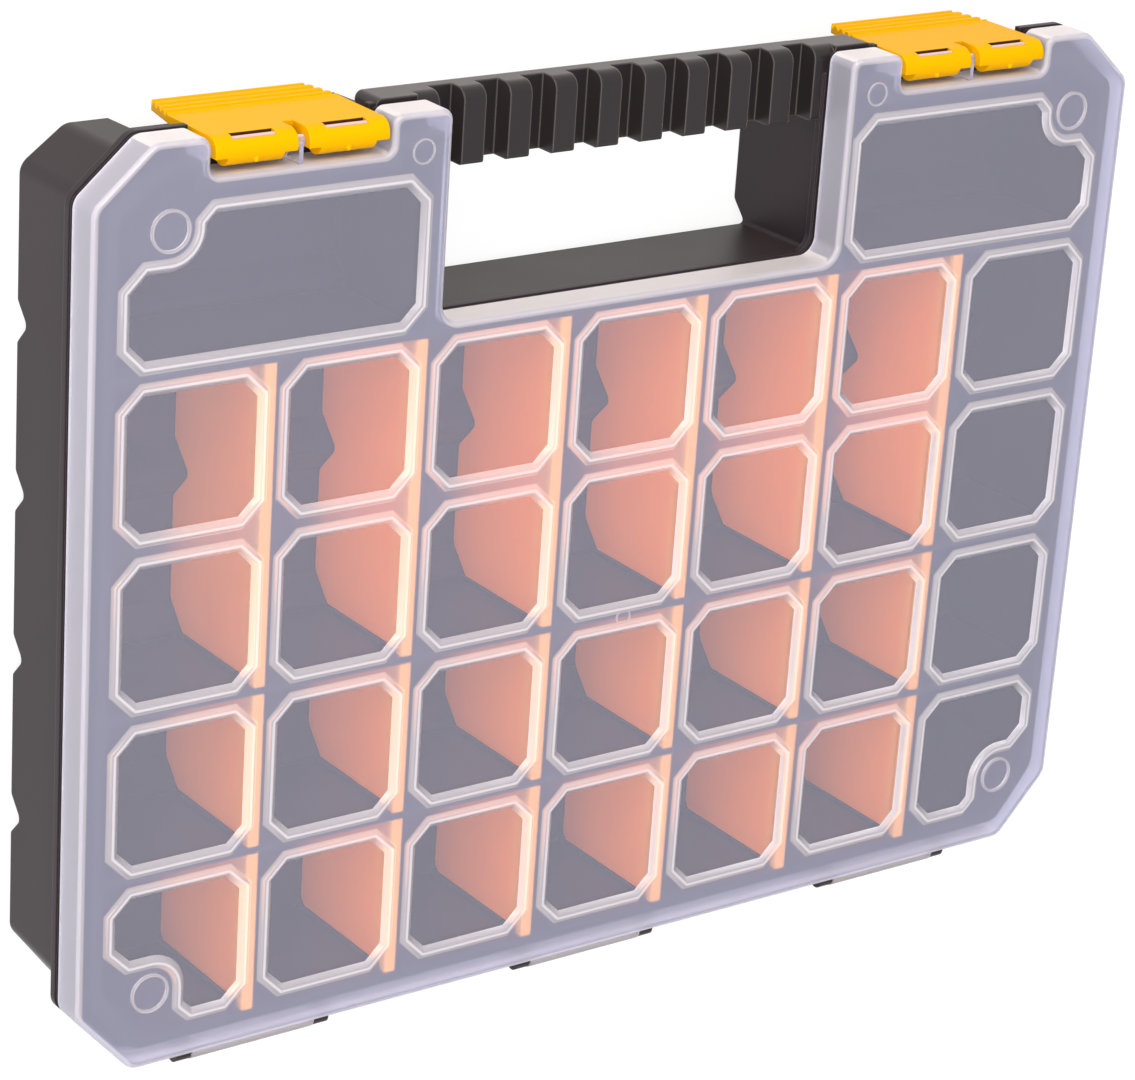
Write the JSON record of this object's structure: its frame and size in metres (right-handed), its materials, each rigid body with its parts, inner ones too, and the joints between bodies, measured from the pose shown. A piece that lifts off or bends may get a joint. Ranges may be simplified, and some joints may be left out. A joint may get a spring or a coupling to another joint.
{
  "type": "organizer box",
  "caption": "Flat carry case with a hinged clear lid, pull-up latches, a cut-out handle and removable dividers that part its tray into small compartments.",
  "frame": {"origin": "middle of the bottom of the overall box, on the surface that the case lies on", "axes": "+X along the width, to the right as the handle is held up; +Y from the hinges to the handle; +Z from the tray's back to the lid"},
  "size_m": [0.392, 0.3022, 0.0595],
  "materials": {
    "tray": "fine textured dark polypropylene",
    "lid": "frosted translucent polypropylene",
    "divider": "orange polypropylene",
    "latch": "yellow polypropylene"
  },
  "bodies": {
    "tray": {"base_tray": "tray", "tray_back": "tray", "wall_tower_left": "tray", "wall_tower_right": "tray", "wall_middle": "tray", "wall_low": "tray", "wall_latch_left": "tray", "wall_latch_right": "tray", "carry_handle": "tray", "divider_tall_1": "divider", "divider_tall_2": "divider", "divider_tall_3": "divider", "divider_tall_4": "divider", "divider_tall_5": "divider", "divider_tall_6": "divider", "divider_middle_1": "divider", "divider_middle_2": "divider", "divider_middle_3": "divider", "divider_middle_4": "divider", "divider_middle_5": "divider", "divider_middle_6": "divider", "divider_low_1": "divider", "divider_low_2": "divider", "divider_low_3": "divider", "divider_low_4": "divider", "divider_low_5": "divider", "divider_low_6": "divider"},
    "lid": {"lid": "lid"},
    "latch_left": {"latch_left": "latch"},
    "latch_right": {"latch_right": "latch"}
  },
  "joints": [
    {"name": "lid_hinge", "type": "hinge", "parent": "tray", "child": "lid", "pos_m": [0, -0.1477, 0.0484], "axis": [1, 0, 0], "range_deg": [0, 180]},
    {"name": "latch_left_pivot", "type": "hinge", "parent": "lid", "child": "latch_left", "pos_m": [-0.1274, 0.1446, 0.0534], "axis": [1, 0, 0], "range_deg": [0, 100]},
    {"name": "latch_right_pivot", "type": "hinge", "parent": "lid", "child": "latch_right", "pos_m": [0.1274, 0.1446, 0.0534], "axis": [1, 0, 0], "range_deg": [0, 100]}
  ]
}
